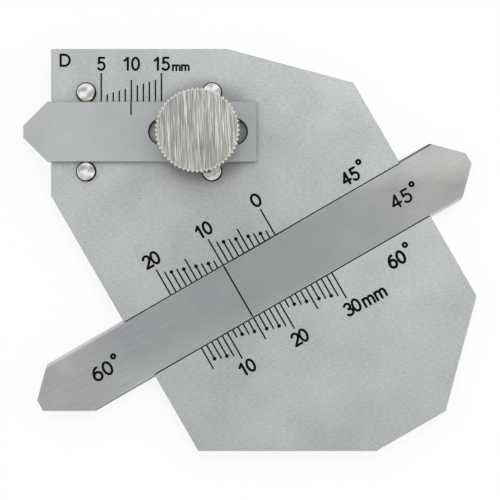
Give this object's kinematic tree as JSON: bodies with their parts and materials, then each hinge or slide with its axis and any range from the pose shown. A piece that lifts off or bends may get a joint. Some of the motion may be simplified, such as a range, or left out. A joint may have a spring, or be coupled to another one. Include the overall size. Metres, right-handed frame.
{
  "type": "weld gauge",
  "caption": "Flat polygonal steel weld gauge with a diagonal dovetail measuring bar, a depth slide guided by pins, a knurled thumb screw and engraved millimetre scales.",
  "frame": {"origin": "middle of the plate's back face", "axes": "+Z out of the marked face, +X to the right along the top edge and the depth slide, +Y up towards the top edge"},
  "size_m": [0.0753, 0.0668, 0.011],
  "materials": {
    "plate_steel": "satin ground stainless steel",
    "bar_steel": "stainless steel ground along its length",
    "spring_steel": "rolled spring strip",
    "slide_steel": "stainless steel ground along its length",
    "pin_steel": "bright turned stainless steel",
    "screw_steel": "turned, knurled and face-ground steel with a warm nickel tone"
  },
  "bodies": {
    "plate": {"base_plate": "plate_steel", "bar_spring": "spring_steel", "guide_pin_upper_left": "pin_steel", "guide_pin_upper_right": "pin_steel", "guide_pin_lower_left": "pin_steel", "guide_pin_lower_right": "pin_steel"},
    "bar": {"measuring_bar": "bar_steel"},
    "slide": {"depth_slide": "slide_steel"},
    "screw": {"thumb_screw": "screw_steel"}
  },
  "joints": [
    {"name": "bar_travel", "type": "slide", "parent": "plate", "child": "bar", "axis": [0.866, 0.5, 0], "range_m": [-0.01, 0.015]},
    {"name": "slide_travel", "type": "slide", "parent": "plate", "child": "slide", "axis": [1, 0, 0], "range_m": [-0.0059, 0.0059]},
    {"name": "screw_turn", "type": "hinge", "parent": "plate", "child": "screw", "pos_m": [-0.01091, 0.01961, 0], "axis": [0, 0, 1], "range_deg": [0, 360]}
  ]
}
